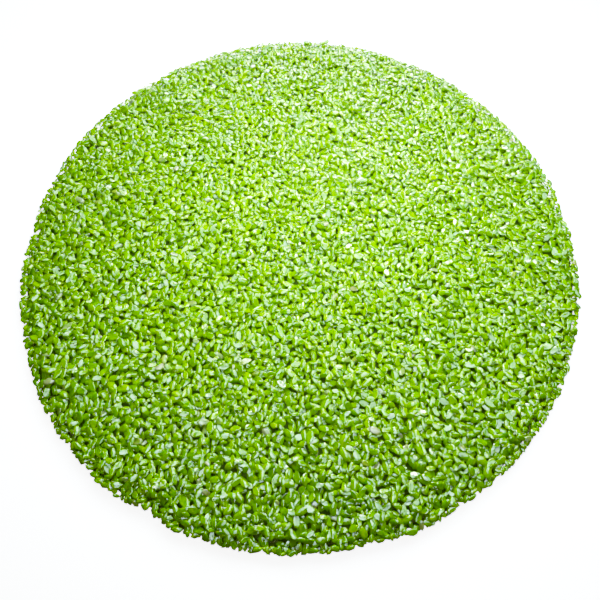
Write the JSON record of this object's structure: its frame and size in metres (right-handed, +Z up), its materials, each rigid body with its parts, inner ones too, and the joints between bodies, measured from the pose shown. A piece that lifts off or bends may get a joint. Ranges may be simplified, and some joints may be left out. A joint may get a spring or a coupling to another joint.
{
  "type": "duckweed mat",
  "caption": "Round mat of crowded floating duckweed with its root felt, lifted off the water and laid on a flat surface.",
  "frame": {"origin": "middle of the root felt's flat underside, on the surface that the mat lies on", "axes": "+Z up through the mat's thickness, from the roots to the fronds; X and Y lie in the plane of the round mat"},
  "size_m": [0.1996, 0.1989, 0.0081],
  "materials": {
    "fronds": "satin",
    "roots": "matte",
    "loose_plants": "satin"
  },
  "bodies": {
    "root": {"root_felt": "roots", "frond_bed": "fronds", "plant_01": "loose_plants", "plant_02": "loose_plants", "plant_03": "loose_plants", "plant_04": "loose_plants", "plant_05": "loose_plants", "plant_06": "loose_plants", "plant_07": "loose_plants", "plant_08": "loose_plants", "plant_09": "loose_plants", "plant_10": "loose_plants", "plant_11": "loose_plants", "plant_12": "loose_plants", "plant_13": "loose_plants", "plant_14": "loose_plants", "plant_15": "loose_plants", "plant_16": "loose_plants", "plant_17": "loose_plants", "plant_18": "loose_plants", "plant_19": "loose_plants", "plant_20": "loose_plants", "plant_21": "loose_plants", "plant_22": "loose_plants", "plant_23": "loose_plants", "plant_24": "loose_plants"}
  },
  "joints": []
}
